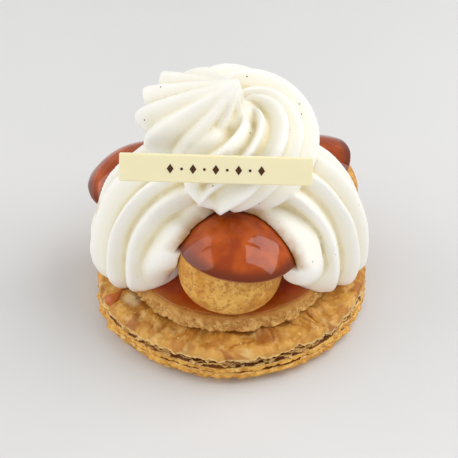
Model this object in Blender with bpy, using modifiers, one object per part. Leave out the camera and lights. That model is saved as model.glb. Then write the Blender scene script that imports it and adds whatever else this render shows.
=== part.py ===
"""An individual Saint-Honore: a flaky puff pastry round with a flat choux disc on it, three choux
puffs dipped in caramel, vanilla cream piped between them with a star nozzle, a piped rosette on
top and a small bar of white chocolate leaning on the rosette.

Metres, +Z up. The origin is the middle of the pastry's flat underside, and -Y is the front, where
one of the puffs stands.
"""

import math

import bmesh
import bpy
from mathutils import Matrix, Vector, noise

MM = 0.001
GAP = 0.3 * MM  # air left between pieces that touch

# Puff pastry round.
BASE_RADIUS = 43.0 * MM
BASE_FOOT_RADIUS = 40.4 * MM
BASE_HEIGHT = 12.4 * MM
BASE_LEAVES = 5  # flaky ledges that show down its side
LEAF_STEP = 1.1 * MM  # how far a ledge stands out
BASE_SEGMENTS = 60

# Flat choux disc on the round.
DISC_RADIUS = 32.6 * MM
DISC_BOTTOM = BASE_HEIGHT + GAP
DISC_TOP = 17.0 * MM
DISC_SEGMENTS = 48

# Choux puffs and the caramel domes that they were dipped in.
PUFF_RADIUS = 16.4 * MM
PUFF_HALF_HEIGHT = 14.2 * MM
PUFF_HEIGHT_OVER_DISC = 13.6 * MM  # the puff's middle, a little sunk on its foot
DOME_RIM_RADIUS = 18.4 * MM
DOME_HEIGHT = 9.6 * MM
DOME_RIM_OVER_PUFF = 6.8 * MM  # rim plane above the puff's middle
DOME_EDGE = 0.9 * MM  # thickness of the set caramel at the rim
# name: (azimuth, distance from the middle, lean away from the middle, roll, dome shift sideways)
PUFFS = {
    "front": (-90.0, 22.5 * MM, -5.0, 6.0, 1.8 * MM),
    "right": (29.5, 28.4 * MM, -24.0, 14.0, 0.0 * MM),
    "left": (156.5, 28.8 * MM, 6.0, 2.0, 0.0 * MM),
}

# Star nozzle.
RIDGES = 11
RIDGE_DEPTH = 0.26  # of the rope's radius
RIDGE_ROUNDNESS = 0.85  # below 1 the ridges are broad and the grooves narrow
SAMPLES_PER_RIDGE = 4

# White chocolate bar.
BAR_LENGTH = 56.0 * MM
BAR_WIDTH = 8.2 * MM
BAR_THICKNESS = 1.8 * MM
BAR_CENTRE = (-4.3 * MM, -25.0 * MM, 68.5 * MM)
BAR_LEAN = 25.0  # degrees back from upright
BAR_ROLL = 1.6  # degrees, its right end lower


def clear_scene():
    for leftover in list(bpy.data.objects):
        bpy.data.objects.remove(leftover, do_unlink=True)


def collection(name):
    made = bpy.data.collections.new(name)
    bpy.context.scene.collection.children.link(made)
    return made


def material(name, colour, roughness):
    made = bpy.data.materials.new(name)
    made.use_nodes = True
    shader = made.node_tree.nodes["Principled BSDF"]
    shader.inputs["Base Color"].default_value = (*colour, 1.0)
    shader.inputs["Roughness"].default_value = roughness
    shader.inputs["Metallic"].default_value = 0.0
    return made


def add_object(name, bm, where, finish=None, crease=60.0):
    """A named mesh object from a bmesh, shaded smooth but for edges sharper than crease."""
    bmesh.ops.recalc_face_normals(bm, faces=bm.faces)
    if bm.calc_volume(signed=True) < 0:
        bmesh.ops.reverse_faces(bm, faces=bm.faces)
    mesh = bpy.data.meshes.new(name)
    bm.to_mesh(mesh)
    bm.free()
    mesh.shade_smooth()
    mesh.set_sharp_from_angle(angle=math.radians(crease))
    made = bpy.data.objects.new(name, mesh)
    where.objects.link(made)
    if finish:
        made.data.materials.append(finish)
    return made


def apply_modifiers(thing):
    """Replaces an object's mesh by its evaluated one and drops its modifiers."""
    bpy.context.view_layer.update()
    graph = bpy.context.evaluated_depsgraph_get()
    final = bpy.data.meshes.new_from_object(thing.evaluated_get(graph))
    thing.modifiers.clear()
    thing.data = final


def cut(thing, cutter, solver="EXACT"):
    """Takes the cutter away from the thing."""
    boolean = thing.modifiers.new("cut_" + cutter.name, "BOOLEAN")
    boolean.operation = "DIFFERENCE"
    boolean.solver = solver
    boolean.object = cutter


def keep_largest(thing):
    """Drops the crumbs that a cut leaves beside the main body."""
    bm = bmesh.new()
    bm.from_mesh(thing.data)
    left = set(bm.verts)
    pieces = []
    while left:
        piece = {left.pop()}
        edge_of = list(piece)
        while edge_of:
            vertex = edge_of.pop()
            for edge in vertex.link_edges:
                other = edge.other_vert(vertex)
                if other not in piece:
                    piece.add(other)
                    edge_of.append(other)
        left -= piece
        pieces.append(piece)
    pieces.sort(key=len)
    for piece in pieces[:-1]:
        bmesh.ops.delete(bm, geom=list(piece), context="VERTS")
    bm.to_mesh(thing.data)
    bm.free()


def helper(thing):
    """A cutter: never drawn, and not a piece of the cake."""
    thing.hide_render = True
    thing.display_type = "WIRE"
    return thing


def turned(name, profile, segments, where, finish=None):
    """A solid of revolution about Z from (radius, height) pairs, top to bottom."""
    bm = bmesh.new()
    points = [bm.verts.new((radius, 0.0, height)) for radius, height in profile]
    for first, second in zip(points, points[1:]):
        bm.edges.new((first, second))
    mesh = bpy.data.meshes.new(name)
    bm.to_mesh(mesh)
    bm.free()
    made = bpy.data.objects.new(name, mesh)
    where.objects.link(made)
    screw = made.modifiers.new("turn", "SCREW")
    screw.steps = segments
    screw.render_steps = segments
    screw.use_merge_vertices = True
    screw.merge_threshold = 0.00002
    screw.use_normal_calculate = True
    apply_modifiers(made)
    made.data.shade_smooth()
    made.data.set_sharp_from_angle(angle=math.radians(50))
    if finish:
        made.data.materials.append(finish)
    return made


def roughen(thing, change):
    """Moves every vertex of the mesh to change(vertex)."""
    for vertex in thing.data.vertices:
        vertex.co = change(vertex.co.copy())
    thing.data.update()


def wobble(point, pitch, seed):
    """Smooth noise, about -1 to 1, that repeats at every run."""
    return noise.noise(Vector(point) / pitch + Vector((seed, -seed, 0.7 * seed)))


# ---------------------------------------------------------------- pastry


def pastry_profile():
    """Right half of the round's section, from the middle of its top, down the side, to its foot."""
    top = BASE_HEIGHT
    rows = [(0.0, top), (DISC_RADIUS + 1.5 * MM, top)]
    rows += [(0.87 * BASE_RADIUS, top - 0.2 * MM), (0.95 * BASE_RADIUS, top + 0.3 * MM)]
    for leaf in range(BASE_LEAVES):
        share = leaf / BASE_LEAVES
        edge = BASE_RADIUS + (BASE_FOOT_RADIUS - BASE_RADIUS) * share**1.5
        upper = top * (1 - share)
        depth = top / BASE_LEAVES
        rows.append((edge, upper - 0.30 * depth))
        rows.append((edge - LEAF_STEP, upper - 0.92 * depth))
    rows += [(BASE_FOOT_RADIUS - 0.5 * MM, 0.0), (0.0, 0.0)]
    return rows


def flaky(point):
    """Uneven leaves: the edge wanders, and each ledge stands out by a different amount."""
    radius = math.hypot(point.x, point.y)
    if radius < DISC_RADIUS + 2 * MM or point.z < 0.05 * MM:
        return point
    around = Vector((point.x / radius, point.y / radius, 0))
    outside = min(1.0, (radius - DISC_RADIUS) / (BASE_RADIUS - DISC_RADIUS))
    drift = wobble((around.x, around.y, 0), 0.45, 3.0) * 0.9 * MM
    ledge = wobble((around.x, around.y, point.z / (2.0 * MM)), 0.16, 8.0) * 1.0 * MM
    lift = wobble(point, 7 * MM, 5.0) * 0.7 * MM
    point += around * (drift + ledge) * outside
    if point.z > 0.8 * BASE_HEIGHT:
        point.z += lift * outside
    return point


def disc_profile():
    """Right half of the choux disc's section, with a blunt, slightly swollen edge."""
    rows = [(0.0, DISC_TOP), (0.9 * DISC_RADIUS, DISC_TOP)]
    thick = DISC_TOP - DISC_BOTTOM
    for step in range(1, 5):
        turn = math.radians(90 - 36 * step)
        rows.append(
            (
                DISC_RADIUS - 1.6 * MM + 1.6 * MM * math.cos(turn),
                DISC_BOTTOM + thick * (0.5 + 0.5 * math.sin(turn)),
            )
        )
    rows += [(0.93 * DISC_RADIUS, DISC_BOTTOM), (0.0, DISC_BOTTOM)]
    return rows


def grown_disc(cutters):
    """What the cream keeps clear of: the disc, as wide as its crags reach."""
    reach = DISC_RADIUS + 1.3 * MM
    bm = bmesh.new()
    bmesh.ops.create_cone(
        bm,
        segments=DISC_SEGMENTS,
        radius1=reach,
        radius2=reach,
        depth=DISC_TOP + GAP,
        cap_ends=True,
        matrix=Matrix.Translation((0, 0, (DISC_TOP + GAP) / 2)),
    )
    return helper(add_object("grown_disc", bm, cutters))


def craggy(point):
    radius = math.hypot(point.x, point.y)
    if radius < 0.92 * DISC_RADIUS:
        return point
    around = Vector((point.x, point.y, 0)) / radius
    low = wobble((around.x, around.y, 0), 0.6, 11.0) * 0.9 * MM
    fine = wobble(point, 3.2 * MM, 2.0) * 0.7 * MM
    return point + around * (low + fine)


def pastry_round(where):
    made = turned("puff_pastry_base", pastry_profile(), BASE_SEGMENTS, where, PASTRY)
    roughen(made, flaky)
    return made


def choux_disc(where):
    made = turned("choux_disc", disc_profile(), DISC_SEGMENTS, where, CHOUX)
    roughen(made, craggy)
    return made


# ---------------------------------------------------------------- puffs


def puff_frame(azimuth, distance, lean, roll):
    """The puff's own axes: its middle, leaning away from the cake's middle and rolled sideways."""
    turn = math.radians(azimuth)
    middle = Vector((math.cos(turn) * distance, math.sin(turn) * distance, 0))
    middle.z = DISC_TOP + PUFF_HEIGHT_OVER_DISC
    outward = Matrix.Rotation(turn + math.pi / 2, 4, "Z")  # local -Y points outward
    return (
        Matrix.Translation(middle)
        @ outward
        @ Matrix.Rotation(math.radians(lean), 4, "X")
        @ Matrix.Rotation(math.radians(roll), 4, "Y")
    )


def puff_mesh(name, frame, extra, segments, rings, where, finish=None, lumpy=True):
    """A choux puff: a flattened ball with a slightly uneven skin."""
    bm = bmesh.new()
    bmesh.ops.create_uvsphere(bm, u_segments=segments, v_segments=rings, radius=1.0)
    for vertex in bm.verts:
        unit = vertex.co.copy()
        squarer = 1.0 + 0.05 * math.sin(2 * math.asin(min(1.0, abs(unit.z)))) ** 2
        vertex.co = Vector(
            (
                unit.x * (PUFF_RADIUS + extra) * squarer,
                unit.y * (PUFF_RADIUS + extra) * squarer,
                unit.z * (PUFF_HALF_HEIGHT + extra) * squarer,
            )
        )
        if lumpy:
            dent = 0.5 + 0.5 * wobble(vertex.co, 9 * MM, len(name))
            vertex.co -= unit * dent * 0.5 * MM
    bm.transform(frame)
    return add_object(name, bm, where, finish)


def dome_profile(extra=0.0):
    """Right half of the caramel lens: a shallow dome over a thin flat rim."""
    ball = (DOME_RIM_RADIUS**2 + DOME_HEIGHT**2) / (2 * DOME_HEIGHT)
    spread = math.asin(DOME_RIM_RADIUS / ball)
    rows = []
    steps = 5
    for step in range(steps + 1):
        turn = spread * step / steps
        rows.append(
            (
                (ball + extra) * math.sin(turn),
                (ball + extra) * math.cos(turn) - (ball - DOME_HEIGHT),
            )
        )
    edge = DOME_RIM_RADIUS + extra
    rows.append((edge, -0.35 * DOME_EDGE))
    rows.append((edge - 0.25 * MM, -DOME_EDGE - extra))
    rows.append((0.0, -DOME_EDGE - extra))
    return rows


def dome_frame(frame, shift):
    return frame @ Matrix.Translation((shift, 0, DOME_RIM_OVER_PUFF))


def floor_cutter(cutters):
    """Everything up to the disc's top: it flattens the puffs' feet."""
    reach = 3 * BASE_RADIUS
    height = DISC_TOP + GAP
    middle = Matrix.Translation((0, 0, height / 2))
    return helper(box("floor_cutter", (reach, reach, height), middle, cutters))


def puff_with_dome(name, placing, foot, where, cutters):
    """The puff, its caramel dome, and grown copies of both that the cream is cut with."""
    *placing, shift = placing
    frame = puff_frame(*placing)
    puff = puff_mesh("puff_" + name, frame, 0.0, 24, 12, where, CHOUX)
    cut(puff, foot)
    apply_modifiers(puff)
    grown_puff = helper(
        puff_mesh("grown_puff_" + name, frame, GAP, 24, 12, cutters, lumpy=False)
    )
    dome = turned("caramel_" + name, dome_profile(), 25, where, CARAMEL)
    dome.data.transform(dome_frame(frame, shift))
    cut(dome, grown_puff)
    apply_modifiers(dome)
    grown_dome = helper(turned("grown_dome_" + name, dome_profile(GAP), 25, cutters))
    grown_dome.data.transform(dome_frame(frame, shift))
    return [grown_puff, grown_dome]


# ---------------------------------------------------------------- piped cream


def blend_stations(stations, steps):
    """A smooth run of tuples through the stations, by Catmull-Rom on every value."""
    rows = []
    last = len(stations) - 1
    for step in range(steps + 1):
        place = step / steps * last
        leg = min(int(place), last - 1)
        t = place - leg
        p0, p1, p2, p3 = (stations[min(max(leg + k, 0), last)] for k in (-1, 0, 1, 2))
        rows.append(
            tuple(
                0.5
                * (
                    2 * b
                    + (c - a) * t
                    + (2 * a - 5 * b + 4 * c - d) * t * t
                    + (3 * b - a - 3 * c + d) * t**3
                )
                for a, b, c, d in zip(p0, p1, p2, p3)
            )
        )
    return rows


def even_grooves(count, first=0.0):
    return [first + 360.0 * k / count for k in range(count)]


def star_outline(grooves, lean=1.0):
    """Angles round a star nozzle's outline, and how near each is to a ridge's crest (0 to 1).

    Grooves are the angles of its grooves in degrees. A lean other than 1 pushes every crest to
    one side, so that one flank of the ridge is steep.
    """
    outline = []
    ends = list(grooves[1:]) + [grooves[0] + 360.0]
    for start, end in zip(grooves, ends):
        for k in range(SAMPLES_PER_RIDGE):
            share = k / SAMPLES_PER_RIDGE
            crest = abs(math.sin(math.pi * share**lean)) ** RIDGE_ROUNDNESS
            outline.append((math.radians(start + (end - start) * share), crest))
    return outline


def directions(stations, middles):
    """The way each cross-section of a rope faces: its own, or else along the rope."""
    if len(stations[0]) > 5:
        return [Vector(row[5:8]).normalized() for row in stations]
    last = len(middles) - 1
    return [
        (middles[min(k + 1, last)] - middles[max(k - 1, 0)]).normalized() for k in range(last + 1)
    ]


def piped_rope(name, stations, steps, outline, start_across, where, finish=None):
    """A rope of cream from a star nozzle.

    Stations are (x, y, z, radius, roll in degrees), in millimetres, and may end with the three
    numbers of the way the cross-section faces. start_across is where angle 0 points at the start.
    """
    rows = blend_stations(stations, steps)
    middles = [Vector(row[:3]) * MM for row in rows]
    facing = directions(rows, middles)
    across = Vector(start_across)
    bm = bmesh.new()
    rings = []
    for index, row in enumerate(rows):
        along = facing[index]
        across = (across - along * across.dot(along)).normalized()
        side = along.cross(across)
        radius, roll = max(row[3], 0.15) * MM, math.radians(row[4])
        ring = []
        for turn, crest in outline:
            swell = (math.cos(turn), math.sin(turn), len(name) + 8.0 * index / steps)
            uneven = 1 + 0.04 * noise.noise(Vector(swell))
            reach = radius * (1 - RIDGE_DEPTH * (1 - crest)) * uneven
            spoke = across * math.cos(turn + roll) + side * math.sin(turn + roll)
            ring.append(bm.verts.new(middles[index] + spoke * reach))
        rings.append(ring)
    count = len(outline)
    for ring, following in zip(rings, rings[1:]):
        for k in range(count):
            m = (k + 1) % count
            bm.faces.new((ring[k], ring[m], following[m], following[k]))
    for ring, middle in ((rings[0], middles[0]), (rings[-1], middles[-1])):
        hub = bm.verts.new(middle)
        for k in range(count):
            bm.faces.new((ring[k], ring[(k + 1) % count], hub))
    return add_object(name, bm, where, finish)


# A lobe's stations seen from its side: distance out, height, rope radius, sideways drift.
LOBE = (
    (28.3, 13.9, 6.5, 0.2),
    (28.4, 15.6, 11.8, 0.1),
    (28.6, 20.0, 14.6, 0.0),
    (28.7, 27.0, 15.4, 0.0),
    (27.4, 34.5, 15.4, 0.0),
    (24.8, 41.0, 15.2, 0.0),
    (20.3, 47.0, 14.8, -0.2),
    (14.0, 51.0, 13.8, -0.8),
    (6.0, 53.5, 12.3, -2.0),
)


def left_lobe():
    return [(-out, -5.0 - drift, up, radius, 0.0) for out, up, radius, drift in LOBE]


def right_lobe():
    return [(out - 0.4, -5.0 - drift, up, radius, 0.0) for out, up, radius, drift in LOBE]


def back_lobe():
    return [(0.8 + drift, out, up, radius, 0.0) for out, up, radius, drift in LOBE]


# The rosette's ring: angle round its axis, distance from it, height, rope radius. The ridges roll
# outward as the ring comes round to the front.
RING_AXIS = (0.0, -1.0)
RING_TWIST = 0.7
RING = (
    (-128, 12.5, 49.5, 4.0),
    (-120, 12.5, 52.5, 10.5),
    (-107, 12.5, 56.5, 14.0),
    (-80, 12.5, 59.5, 15.0),
    (-40, 12.4, 61.5, 15.0),
    (0, 12.3, 62.5, 15.0),
    (45, 12.2, 63.0, 15.0),
    (90, 12.2, 63.5, 15.0),
    (130, 12.0, 63.5, 14.5),
    (165, 12.0, 62.0, 13.0),
    (190, 12.0, 58.0, 9.0),
)


def ring_stations():
    rows = []
    for angle, out, up, radius in RING:
        turn = math.radians(angle)
        x = RING_AXIS[0] + math.cos(turn) * out
        y = RING_AXIS[1] + math.sin(turn) * out
        rows.append((x, y, up, radius, -RING_TWIST * angle))
    return rows


# The last dollop: it spreads over the ring on the left and is drawn off to a peak near the middle.
PEAK = (
    (-11.0, -1.0, 60.0, 10.0, 0.0, -0.05, -0.35, 1.0),
    (-11.0, -1.0, 64.0, 14.5, 0.0, -0.05, -0.35, 1.0),
    (-11.2, -1.0, 67.6, 17.8, 0.0, -0.05, -0.35, 1.0),
    (-11.0, -1.1, 70.4, 16.8, 0.0, 0.0, -0.33, 1.0),
    (-9.2, -1.4, 73.6, 12.8, 0.0, 0.1, -0.3, 1.0),
    (-6.2, -1.9, 77.0, 8.9, 0.0, 0.2, -0.2, 1.0),
    (-2.0, -2.5, 80.5, 4.6, 0.0, 0.3, -0.15, 1.0),
    (2.1, -3.0, 84.2, 0.2, 0.0, 0.4, -0.1, 1.0),
)
PEAK_GROOVES = (22, 68, 108, 138, 166, 206, 245, 283, 318, 345)


CORE_FOOT_RADIUS = 17.0 * MM
CORE_TOP_RADIUS = 9.0 * MM
CORE_BOTTOM = 16.0 * MM
CORE_TOP = 70.5 * MM


def cream_core(where):
    """The cream in the middle, between the puffs and inside the ring, where no ridge shows."""
    middle = (RING_AXIS[0] * MM, RING_AXIS[1] * MM, (CORE_BOTTOM + CORE_TOP) / 2)
    bm = bmesh.new()
    bmesh.ops.create_cone(
        bm,
        segments=19,
        radius1=CORE_FOOT_RADIUS,
        radius2=CORE_TOP_RADIUS,
        depth=CORE_TOP - CORE_BOTTOM,
        cap_ends=True,
        matrix=Matrix.Translation(middle),
    )
    return add_object("core", bm, where)


def cream_ropes(where):
    """Every stroke of the nozzle, still apart, and the core that they close round."""
    across = (1, 0, 0)
    plain = star_outline(even_grooves(RIDGES))
    left = star_outline(even_grooves(RIDGES, 5.0), 0.8)
    right = star_outline(even_grooves(RIDGES, 10.0), 1.25)
    return [
        piped_rope("ring", ring_stations(), 27, star_outline(even_grooves(10)), (0, 0, 1), where),
        piped_rope("peak", PEAK, 14, star_outline(PEAK_GROOVES), across, where),
        piped_rope("left_lobe", left_lobe(), 14, left, across, where),
        piped_rope("right_lobe", right_lobe(), 14, right, across, where),
        piped_rope("back_lobe", back_lobe(), 14, plain, across, where),
        cream_core(where),
    ]


def whipped_cream(where, takes_away):
    """All strokes fused, then cut back from everything they lean on."""
    strokes = collection("cream_strokes")
    ropes = cream_ropes(strokes)
    cream = ropes[0]
    strokes.objects.unlink(cream)
    where.objects.link(cream)
    cream.name = "whipped_cream"
    cream.data.materials.append(CREAM)
    fuse = cream.modifiers.new("fuse", "BOOLEAN")
    fuse.operation = "UNION"
    fuse.solver = "MANIFOLD"  # EXACT leaves open edges where the ring overlaps itself
    fuse.operand_type = "COLLECTION"
    fuse.collection = strokes
    apply_modifiers(cream)
    for rope in ropes[1:]:
        bpy.data.objects.remove(rope, do_unlink=True)
    bpy.data.collections.remove(strokes)
    for cutter in takes_away:
        cut(cream, cutter, "MANIFOLD")
    apply_modifiers(cream)
    keep_largest(cream)
    return cream


# ---------------------------------------------------------------- chocolate bar


def bar_frame():
    return (
        Matrix.Translation(BAR_CENTRE)
        @ Matrix.Rotation(math.radians(-BAR_LEAN), 4, "X")
        @ Matrix.Rotation(math.radians(BAR_ROLL), 4, "Y")
    )


def box(name, size, frame, where, finish=None):
    bm = bmesh.new()
    bmesh.ops.create_cube(bm, size=1.0, matrix=Matrix.Diagonal((*size, 1.0)))
    bm.transform(frame)
    return add_object(name, bm, where, finish, crease=30)


def chocolate_bar(where, cutters):
    """The bar, and a grown copy that the cream is cut with."""
    bar = box(
        "chocolate_bar", (BAR_LENGTH, BAR_THICKNESS, BAR_WIDTH), bar_frame(), where, CHOCOLATE
    )
    soften = bar.modifiers.new("edges", "BEVEL")
    soften.width = 0.35 * MM
    soften.segments = 2
    grown = tuple(side + 2 * GAP for side in (BAR_LENGTH, BAR_THICKNESS, BAR_WIDTH))
    return helper(box("grown_bar", grown, bar_frame(), cutters))


# ---------------------------------------------------------------- the cake

clear_scene()
PASTRY = material("puff_pastry", (0.62, 0.36, 0.13), 0.7)
CHOUX = material("choux", (0.64, 0.38, 0.14), 0.75)
CARAMEL = material("caramel", (0.42, 0.10, 0.02), 0.12)
CREAM = material("whipped_cream", (0.93, 0.90, 0.78), 0.5)
CHOCOLATE = material("white_chocolate", (0.90, 0.84, 0.58), 0.4)


def main():
    cake = collection("saint_honore")
    cutters = collection("cutters")
    pastry_round(cake)
    choux_disc(cake)
    foot = floor_cutter(cutters)
    takes_away = [grown_disc(cutters)]
    for name, placing in PUFFS.items():
        takes_away += puff_with_dome(name, placing, foot, cake, cutters)
    takes_away.append(chocolate_bar(cake, cutters))
    whipped_cream(cake, takes_away)


main()
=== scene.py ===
import math
import random
from contextlib import contextmanager

import bmesh
import bpy
import numpy as np
from mathutils import Matrix, Vector, noise
from mathutils.bvhtree import BVHTree


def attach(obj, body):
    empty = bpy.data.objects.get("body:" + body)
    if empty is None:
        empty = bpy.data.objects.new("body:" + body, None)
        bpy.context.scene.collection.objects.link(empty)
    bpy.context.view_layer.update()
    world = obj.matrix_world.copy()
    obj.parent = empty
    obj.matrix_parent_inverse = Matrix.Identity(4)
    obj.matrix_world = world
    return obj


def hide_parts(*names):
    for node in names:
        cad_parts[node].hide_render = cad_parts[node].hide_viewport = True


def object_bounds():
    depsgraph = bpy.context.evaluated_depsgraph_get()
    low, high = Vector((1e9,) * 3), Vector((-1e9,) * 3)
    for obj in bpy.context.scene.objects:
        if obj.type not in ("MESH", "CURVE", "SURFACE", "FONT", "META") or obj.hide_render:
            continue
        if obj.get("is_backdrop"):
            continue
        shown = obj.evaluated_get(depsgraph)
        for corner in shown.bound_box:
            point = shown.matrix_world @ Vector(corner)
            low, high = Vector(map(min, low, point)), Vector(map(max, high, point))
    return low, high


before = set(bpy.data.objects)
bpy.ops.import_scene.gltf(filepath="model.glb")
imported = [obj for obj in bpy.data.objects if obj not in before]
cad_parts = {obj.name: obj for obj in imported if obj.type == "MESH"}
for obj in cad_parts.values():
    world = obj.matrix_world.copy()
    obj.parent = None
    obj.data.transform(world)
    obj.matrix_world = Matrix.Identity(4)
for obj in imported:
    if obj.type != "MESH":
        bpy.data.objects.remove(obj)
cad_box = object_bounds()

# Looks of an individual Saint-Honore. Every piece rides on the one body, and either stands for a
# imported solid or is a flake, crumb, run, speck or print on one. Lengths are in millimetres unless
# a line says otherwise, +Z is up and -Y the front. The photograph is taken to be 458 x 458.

MM = 0.001
SCENE = bpy.context.scene

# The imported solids' own numbers.
BASE_RADIUS = 43.0
BASE_HEIGHT = 12.4
DISC_RADIUS = 32.6
DISC_BOTTOM = 12.7
DISC_TOP = 17.0
PUFF_RADIUS = 16.4
PUFF_HALF_HEIGHT = 14.2
PUFF_HEIGHT_OVER_DISC = 13.6
DOME_RIM_RADIUS = 18.4
DOME_HEIGHT = 9.6
DOME_RIM_OVER_PUFF = 6.8
DOME_EDGE = 0.9
DOME_BALL = (DOME_RIM_RADIUS**2 + DOME_HEIGHT**2) / (2 * DOME_HEIGHT)
# name: (azimuth, distance from the middle, lean away from the middle, roll, dome shift sideways)
PUFFS = {
    "front": (-90.0, 22.5, -5.0, 6.0, 1.8),
    "right": (29.5, 28.4, -24.0, 14.0, 0.0),
    "left": (156.5, 28.8, 6.0, 2.0, 0.0),
}
BAR_LENGTH = 56.0
BAR_WIDTH = 8.2
BAR_THICKNESS = 1.8
BAR_CENTRE = (-4.3, -25.0, 68.5)
BAR_LEAN = 25.0
BAR_ROLL = 1.6

# Camera.
IMAGE = 458
CAMERA_ELEVATION = math.radians(39.0)
CAMERA_BACK = Vector((0, -math.cos(CAMERA_ELEVATION), math.sin(CAMERA_ELEVATION)))
CAMERA_UP = Vector((0, math.sin(CAMERA_ELEVATION), math.cos(CAMERA_ELEVATION)))
CAMERA_DISTANCE = 520.0
CAMERA_TARGET = Vector((-0.5, 0.0, 26.0))
PIXELS_PER_MM = 3.15
SENSOR = 36.0


# ---- meshes

# What a skin's two hubs, its last points, get in a row of per-vertex numbers.
HUBS = (0, 0)


@contextmanager
def edited(mesh):
    """The mesh as a bmesh, written back at the end."""
    bm = bmesh.new()
    bm.from_mesh(mesh)
    yield bm
    bm.to_mesh(mesh)
    bm.free()


def parts_of(bm):
    """Points and faces of a bmesh, which is then freed."""
    points = [tuple(v.co) for v in bm.verts]
    faces = [[v.index for v in f.verts] for f in bm.faces]
    bm.free()
    return points, faces


def linked(name, data):
    made = bpy.data.objects.new(name, data)
    SCENE.collection.objects.link(made)
    return made


def object_from(name, points, faces, look=None, slot=None, crease=None):
    """A closed mesh object in metres from points in millimetres, faces turned outward."""
    mesh = bpy.data.meshes.new(name)
    mesh.from_pydata((np.asarray(points) * MM).tolist(), [], faces)
    with edited(mesh) as bm:
        bmesh.ops.recalc_face_normals(bm, faces=bm.faces)
        if bm.calc_volume(signed=True) < 0:
            bmesh.ops.reverse_faces(bm, faces=bm.faces)
    mesh.shade_smooth()
    if crease:
        mesh.set_sharp_from_angle(angle=math.radians(crease))
    made = linked(name, mesh)
    if look:
        mesh.materials.append(look)
    return made


def skin(rings):
    """Points and faces of a closed skin through rings, (rings, around, 3), ends closed by fans."""
    count, around = rings.shape[:2]
    k = np.arange(around)
    m = (k + 1) % around
    faces = []
    for row in range(count - 1):
        a = row * around
        b = a + around
        faces += np.stack([a + k, a + m, b + m, b + k], 1).tolist()
    points = rings.reshape(-1, 3)
    for row in (0, count - 1):
        hub = len(points)
        points = np.vstack([points, rings[row].mean(0)])
        a = row * around
        faces += [(a + i, a + j, hub) for i, j in zip(k.tolist(), m.tolist())]
    return points, faces


def skinned(name, rings, look=None, slot=None):
    return object_from(name, *skin(np.array(rings)), look, slot)


def wobble(points, pitch, seed, octaves=1):
    """Smooth noise, about -1 to 1, at every point of an array (..., 3)."""
    points = np.asarray(points, float)
    flat = points.reshape(-1, 3) / pitch + np.array([seed * 7.31, -seed * 3.17, seed * 1.73])
    if octaves == 1:
        made = [noise.noise(p) for p in flat.tolist()]
    else:
        made = [noise.fractal(p, 1.0, 2.0, octaves) for p in flat.tolist()]
    return np.array(made).reshape(points.shape[:-1])


def step_up(value, low, high):
    """0 below low, 1 above high, smooth between."""
    t = np.clip((value - low) / (high - low), 0, 1)
    return t * t * (3 - 2 * t)


def ring_angles(count):
    return np.arange(count) * (2 * math.pi / count)


def turned(radius, height, angles):
    """Points at a radius, a height and an angle each; any of them may be the same for many."""
    radius, height, angles = np.broadcast_arrays(radius, height, angles)
    return np.stack([radius * np.cos(angles), radius * np.sin(angles), height], -1)


def circle_at(angles, height, size):
    """Points to read noise at: round a circle, at a height of its own."""
    return np.stack([np.cos(angles) * size, np.sin(angles) * size, np.full_like(angles, height)], -1)


def round_noise(angles, height, size, seed, octaves=1, pitch=1.0):
    """Noise round such a circle, which meets itself where the circle closes."""
    return wobble(circle_at(angles, height, size), pitch, seed, octaves)


def angle_off(degrees, middle):
    """How far each angle is from the middle one, either way round."""
    return np.abs((degrees - middle + 180) % 360 - 180)


def unit_rows(rows):
    return rows / np.linalg.norm(rows, axis=1)[:, None]


def set_values(thing, **values):
    """Per-vertex numbers that the thing's material reads, each a row or one number for all."""
    count = len(thing.data.vertices)
    for name, numbers in values.items():
        attribute = thing.data.attributes.new(name, "FLOAT", "POINT")
        attribute.data.foreach_set("value", np.full(count, numbers, np.float32))


def apply_modifiers(thing):
    bpy.context.view_layer.update()
    graph = bpy.context.evaluated_depsgraph_get()
    final = bpy.data.meshes.new_from_object(thing.evaluated_get(graph))
    thing.modifiers.clear()
    thing.data = final


def boolean(thing, other, operation):
    made = thing.modifiers.new(operation.lower(), "BOOLEAN")
    made.operation = operation
    made.solver = "MANIFOLD"
    made.object = other
    apply_modifiers(thing)


def remove(things):
    for thing in things:
        bpy.data.objects.remove(thing, do_unlink=True)


def joined(name, parts, look, slot, crease=None):
    """One object from several (points, faces) pairs."""
    points, faces = [], []
    for some_points, some_faces in parts:
        first = sum(len(p) for p in points)
        points.append(np.asarray(some_points))
        faces += [tuple(first + k for k in face) for face in some_faces]
    return object_from(name, np.vstack(points), faces, look, slot, crease)


def moved(points, frame_matrix):
    """Points through a 4x4 matrix whose lengths are millimetres."""
    m = np.array(frame_matrix, float)
    return np.asarray(points) @ m[:3, :3].T + m[:3, 3]


def surface_of(thing):
    bpy.context.view_layer.update()
    return BVHTree.FromObject(thing, bpy.context.evaluated_depsgraph_get())


def sight(column, row):
    """The camera's place and the way that the photograph's pixel looks."""
    focal = PIXELS_PER_MM * CAMERA_DISTANCE
    across = Vector((1, 0, 0)) * ((column - IMAGE / 2) / focal)
    way = -CAMERA_BACK + across + CAMERA_UP * ((IMAGE / 2 - row) / focal)
    return CAMERA_TARGET + CAMERA_BACK * CAMERA_DISTANCE, way.normalized()


def seen_at(tree, column, row):
    """The point and normal that the photograph's pixel looks at."""
    eye, way = sight(column, row)
    point, normal, _, _ = tree.ray_cast(eye * MM, way)
    return (point / MM, normal) if point else (None, None)


# ---- materials

# Subsurface weight, scale in metres and radius.
SOFT_CREAM = (0.08, 0.0015, (1.0, 0.8, 0.4))
SOFT_CARAMEL = (0.1, 0.003, (1.0, 0.35, 0.1))
SOFT_CHOCOLATE = (0.2, 0.002, (1.0, 0.8, 0.4))


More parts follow.
